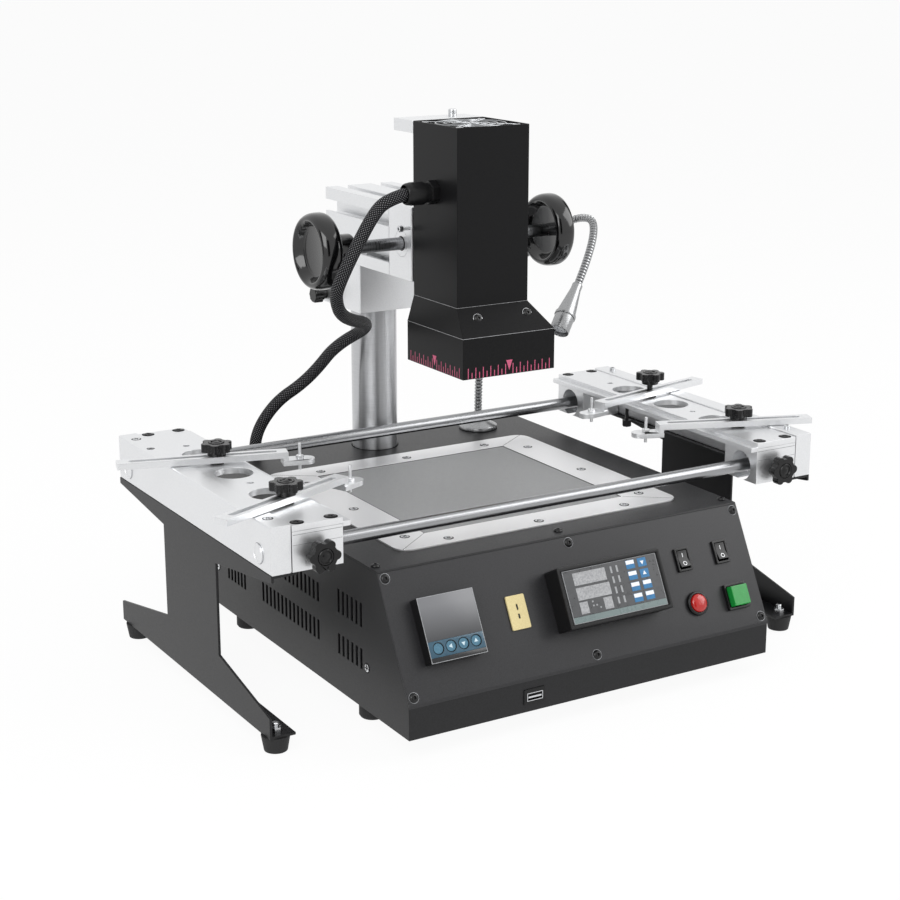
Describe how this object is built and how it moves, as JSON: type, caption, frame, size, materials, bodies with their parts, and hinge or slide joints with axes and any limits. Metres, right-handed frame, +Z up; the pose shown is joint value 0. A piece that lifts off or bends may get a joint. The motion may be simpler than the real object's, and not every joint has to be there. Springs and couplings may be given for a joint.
{
  "type": "bga rework station",
  "caption": "bench station that solders ball-grid chips: boxed lower heater, swinging upper heating head on a rack, and a sliding frame that holds the circuit board",
  "frame": {"origin": "middle of the footprint of everything but the free cable, on the bench", "axes": "+X to the right of someone who faces the front panel, +Y to the back, +Z up"},
  "size_m": [0.541, 0.3824, 0.42],
  "materials": {
    "black_sheet": "fine-textured black powder coat",
    "silver": "satin silver anodised",
    "steel": "ground bright steel",
    "bright": "bright plated",
    "black_gloss": "polished black phenolic",
    "black_plastic": "moulded black",
    "rubber": "black rubber",
    "cable_braid": "black woven sleeve",
    "ceramic": "unglazed ceramic",
    "socket_cream": "cream moulding",
    "board_green": "solder mask",
    "stop_red": "red moulding",
    "start_green": "green moulding",
    "key_blue": "pale blue moulding"
  },
  "bodies": {
    "console": {"console_shell": "black_sheet", "top_plate": "black_sheet", "front_panel": "black_sheet", "rubber_feet": "rubber", "heater_trim": "silver", "heater_mesh": "steel", "heater_elements": "ceramic", "heater_tray": "steel", "lower_controller": "black_plastic", "upper_controller": "black_plastic", "sensor_socket": "socket_cream", "data_socket": "black_plastic", "switch_bodies": "black_plastic", "mains_inlet": "black_plastic", "power_board": "board_green", "column": "steel", "column_mount": "steel", "lamp_base": "bright", "lamp_neck": "bright", "lamp_head": "bright", "guide_bars": "steel", "outer_rails": "silver", "side_brackets": "black_sheet", "cable_grommet": "rubber"},
    "clamp": {"clamp_block": "silver"},
    "clamp_screw": {"clamp_knob": "black_plastic"},
    "boom_arm": {"boom": "silver", "pinion_block": "silver"},
    "wheels": {"pinion_shaft": "steel", "handwheels": "black_gloss"},
    "head": {"head_housing": "black_sheet", "head_rail": "steel", "head_cap": "silver", "head_heater": "ceramic", "fan_frame": "black_plastic", "head_gland": "black_plastic", "head_cable": "cable_braid"},
    "fan": {"fan_rotor": "black_plastic"},
    "carriage_l": {"carriage_left": "silver", "end_blocks_left": "silver"},
    "carriage_r": {"carriage_right": "silver", "end_blocks_right": "silver"},
    "lock_l": {"lock_knob_left": "black_plastic"},
    "lock_r": {"lock_knob_right": "black_plastic"},
    "rocker_light": {"lighting_rocker": "black_plastic"},
    "rocker_fan": {"fan_rocker": "black_plastic"},
    "stop": {"stop_button": "stop_red"},
    "start": {"start_button": "start_green"},
    "pivot_front_left": {"knob_front_left": "black_plastic"},
    "arm_front_left": {"arm_front_left": "silver"},
    "pivot_rear_left": {"knob_rear_left": "black_plastic"},
    "arm_rear_left": {"arm_rear_left": "silver"},
    "pivot_front_right": {"knob_front_right": "black_plastic"},
    "arm_front_right": {"arm_front_right": "silver"},
    "pivot_rear_right": {"knob_rear_right": "black_plastic"},
    "arm_rear_right": {"arm_rear_right": "silver"},
    "key_1": {"controller_key_1": "key_blue"},
    "key_2": {"controller_key_2": "key_blue"},
    "key_3": {"controller_key_3": "key_blue"},
    "key_4": {"controller_key_4": "key_blue"}
  },
  "joints": [
    {"name": "column_swing", "type": "hinge", "parent": "console", "child": "clamp", "pos_m": [0.00472, 0.14948, 0.27], "axis": [0, 0, 1], "range_deg": [-45, 40]},
    {"name": "clamp_knob_turn", "type": "hinge", "parent": "clamp", "child": "clamp_screw", "pos_m": [-0.03328, 0.17518, 0.257], "axis": [1, 0, 0], "range_deg": [-90, 90]},
    {"name": "arm_reach", "type": "slide", "parent": "clamp", "child": "boom_arm", "axis": [0, 1, 0], "range_m": [-0.03, 0.025]},
    {"name": "head_height", "type": "slide", "parent": "boom_arm", "child": "head", "axis": [0, 0, 1], "range_m": [-0.032, 0.035], "deforming": ["head_cable"]},
    {"name": "wheel_turn", "type": "hinge", "parent": "boom_arm", "child": "wheels", "pos_m": [0.00472, 0.04418, 0.318], "axis": [-1, 0, 0], "range_deg": [-204, 223]},
    {"name": "fan_spin", "type": "hinge", "parent": "head", "child": "fan", "pos_m": [0.00472, -0.00697, 0.4039], "axis": [0, 0, 1], "continuous": true},
    {"name": "carriage_left_slide", "type": "slide", "parent": "console", "child": "carriage_l", "axis": [1, 0, 0], "range_m": [0, 0.09]},
    {"name": "lock_knob_left_turn", "type": "hinge", "parent": "carriage_l", "child": "lock_l", "pos_m": [-0.19728, -0.14682, 0.1462], "axis": [0, 1, 0], "range_deg": [-90, 90]},
    {"name": "carriage_right_slide", "type": "slide", "parent": "console", "child": "carriage_r", "axis": [-1, 0, 0], "range_m": [0, 0.09]},
    {"name": "lock_knob_right_turn", "type": "hinge", "parent": "carriage_r", "child": "lock_r", "pos_m": [0.20672, -0.14682, 0.1462], "axis": [0, 1, 0], "range_deg": [-90, 90]},
    {"name": "arm_swing_front_left", "type": "hinge", "parent": "carriage_l", "child": "pivot_front_left", "pos_m": [-0.19728, -0.09132, 0.17], "axis": [0, 0, 1], "range_deg": [-42, 10]},
    {"name": "arm_slide_front_left", "type": "slide", "parent": "pivot_front_left", "child": "arm_front_left", "axis": [0.9205, 0.3907, 0], "range_m": [-0.008, 0.02]},
    {"name": "arm_swing_rear_left", "type": "hinge", "parent": "carriage_l", "child": "pivot_rear_left", "pos_m": [-0.19728, 0.02668, 0.17], "axis": [0, 0, 1], "range_deg": [-10, 42]},
    {"name": "arm_slide_rear_left", "type": "slide", "parent": "pivot_rear_left", "child": "arm_rear_left", "axis": [0.9613, -0.2756, 0], "range_m": [-0.008, 0.02]},
    {"name": "arm_swing_front_right", "type": "hinge", "parent": "carriage_r", "child": "pivot_front_right", "pos_m": [0.20672, -0.09132, 0.17], "axis": [0, 0, 1], "range_deg": [-8, 42]},
    {"name": "arm_slide_front_right", "type": "slide", "parent": "pivot_front_right", "child": "arm_front_right", "axis": [-0.9348, 0.3551, 0], "range_m": [-0.008, 0.02]},
    {"name": "arm_swing_rear_right", "type": "hinge", "parent": "carriage_r", "child": "pivot_rear_right", "pos_m": [0.20672, 0.02668, 0.17], "axis": [0, 0, 1], "range_deg": [-42, 8]},
    {"name": "arm_slide_rear_right", "type": "slide", "parent": "pivot_rear_right", "child": "arm_rear_right", "axis": [-0.9774, -0.2113, 0], "range_m": [-0.008, 0.02]},
    {"name": "rocker_light_tilt", "type": "hinge", "parent": "console", "child": "rocker_light", "pos_m": [0.10042, -0.15837, 0.09372], "axis": [1, 0, 0], "range_deg": [0, 16]},
    {"name": "rocker_fan_tilt", "type": "hinge", "parent": "console", "child": "rocker_fan", "pos_m": [0.13672, -0.15837, 0.09372], "axis": [1, 0, 0], "range_deg": [0, 16]},
    {"name": "stop_press", "type": "slide", "parent": "console", "child": "stop", "axis": [0, 0.8849, -0.4657], "range_m": [0, 0.003], "stiffness_N_per_m": 400},
    {"name": "start_press", "type": "slide", "parent": "console", "child": "start", "axis": [0, 0.8849, -0.4657], "range_m": [0, 0.003], "stiffness_N_per_m": 400},
    {"name": "key_1_press", "type": "slide", "parent": "console", "child": "key_1", "axis": [0, 0.8849, -0.4657], "range_m": [0, 0.0006], "stiffness_N_per_m": 1000},
    {"name": "key_2_press", "type": "slide", "parent": "console", "child": "key_2", "axis": [0, 0.8849, -0.4657], "range_m": [0, 0.0006], "stiffness_N_per_m": 1000},
    {"name": "key_3_press", "type": "slide", "parent": "console", "child": "key_3", "axis": [0, 0.8849, -0.4657], "range_m": [0, 0.0006], "stiffness_N_per_m": 1000},
    {"name": "key_4_press", "type": "slide", "parent": "console", "child": "key_4", "axis": [0, 0.8849, -0.4657], "range_m": [0, 0.0006], "stiffness_N_per_m": 1000}
  ],
  "couplings": [
    {"joint": "wheel_turn", "follows": "head_height", "rad_per_m": 111.11}
  ]
}
